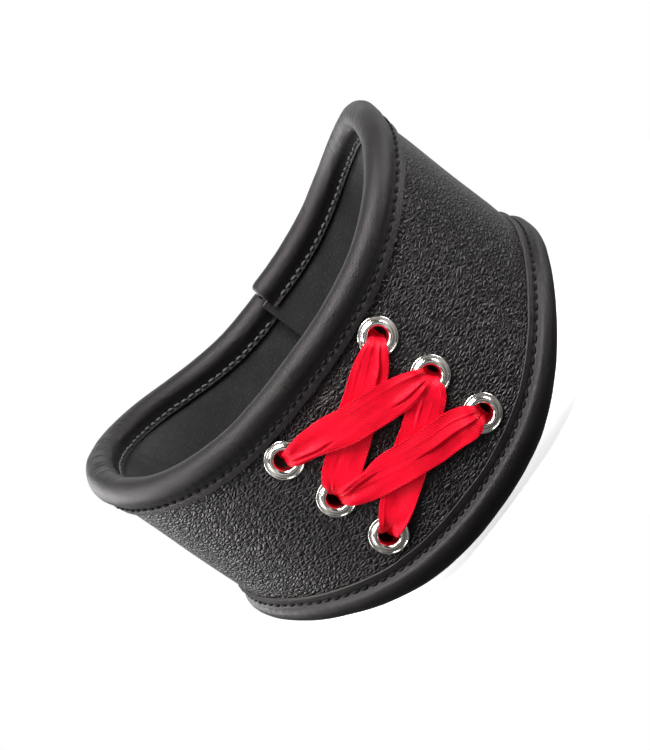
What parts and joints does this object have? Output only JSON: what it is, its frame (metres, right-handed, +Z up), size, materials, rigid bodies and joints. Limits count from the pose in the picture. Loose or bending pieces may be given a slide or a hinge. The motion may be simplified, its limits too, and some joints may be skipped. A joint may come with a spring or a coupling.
{
  "type": "laced neck corset",
  "caption": "Stiff leather neck corset with padded rolled rims, swept down at the front, criss-cross satin lacing through metal eyelets, closing at the back.",
  "frame": {"origin": "on the neck's axis, in the middle of the plan outline, level with the middle of the wall at the sides", "axes": "+Z up the wearer's neck, -Y out through the laced front, +X to the right of someone facing the front"},
  "size_m": [0.1314, 0.1071, 0.091],
  "materials": {
    "pebbled_leather": "pebbled, semi-matt",
    "smooth_leather": "smooth, soft sheen",
    "lining_leather": "smooth, matt",
    "stiffener_sheet": "matt",
    "foam": "foam",
    "black_thread": "waxed",
    "nickel": "bright nickel",
    "red_satin": "satin weave",
    "hook_and_loop": "pile"
  },
  "bodies": {
    "collar_front": {"outer_shell_front": "pebbled_leather", "stiffener_front": "stiffener_sheet", "foam_interlining_front": "foam", "lining_front": "lining_leather", "top_binding_front": "smooth_leather", "top_rim_padding_front": "foam", "top_seam_thread_front": "black_thread", "bottom_binding_front": "smooth_leather", "bottom_rim_padding_front": "foam", "bottom_seam_thread_front": "black_thread", "eyelet_right_top": "nickel", "washer_right_top": "nickel", "eyelet_right_middle": "nickel", "washer_right_middle": "nickel", "eyelet_right_bottom": "nickel", "washer_right_bottom": "nickel", "eyelet_left_top": "nickel", "washer_left_top": "nickel", "eyelet_left_middle": "nickel", "washer_left_middle": "nickel", "eyelet_left_bottom": "nickel", "washer_left_bottom": "nickel", "lacing_ribbon": "red_satin", "lacing_guard": "lining_leather"},
    "left_wing": {"outer_shell_left": "pebbled_leather", "stiffener_left": "stiffener_sheet", "foam_interlining_left": "foam", "lining_left": "lining_leather", "top_binding_left": "smooth_leather", "top_rim_padding_left": "foam", "top_seam_thread_left": "black_thread", "bottom_binding_left": "smooth_leather", "bottom_rim_padding_left": "foam", "bottom_seam_thread_left": "black_thread"},
    "right_wing": {"outer_shell_right": "pebbled_leather", "stiffener_right": "stiffener_sheet", "foam_interlining_right": "foam", "lining_right": "lining_leather", "top_binding_right": "smooth_leather", "top_rim_padding_right": "foam", "top_seam_thread_right": "black_thread", "bottom_binding_right": "smooth_leather", "bottom_rim_padding_right": "foam", "bottom_seam_thread_right": "black_thread", "loop_tape": "hook_and_loop"},
    "closure_tab": {"closure_tab": "pebbled_leather", "hook_tape": "hook_and_loop"}
  },
  "joints": [
    {"name": "left_wing_flex", "type": "hinge", "parent": "collar_front", "child": "left_wing", "pos_m": [-0.0668, 0, 0.012], "axis": [0, 0, 1], "range_deg": [0, 45]},
    {"name": "right_wing_flex", "type": "hinge", "parent": "collar_front", "child": "right_wing", "pos_m": [0.0668, 0, 0.012], "axis": [0, 0, 1], "range_deg": [-45, 0]},
    {"name": "tab_peel", "type": "hinge", "parent": "left_wing", "child": "closure_tab", "pos_m": [0.0001, 0.0531, 0.00825], "axis": [0, 0, 1], "range_deg": [0, 110]}
  ],
  "couplings": [
    {"joint": "right_wing_flex", "follows": "left_wing_flex", "ratio": -1},
    {"joint": "tab_peel", "follows": "left_wing_flex", "ratio": 2.4}
  ]
}
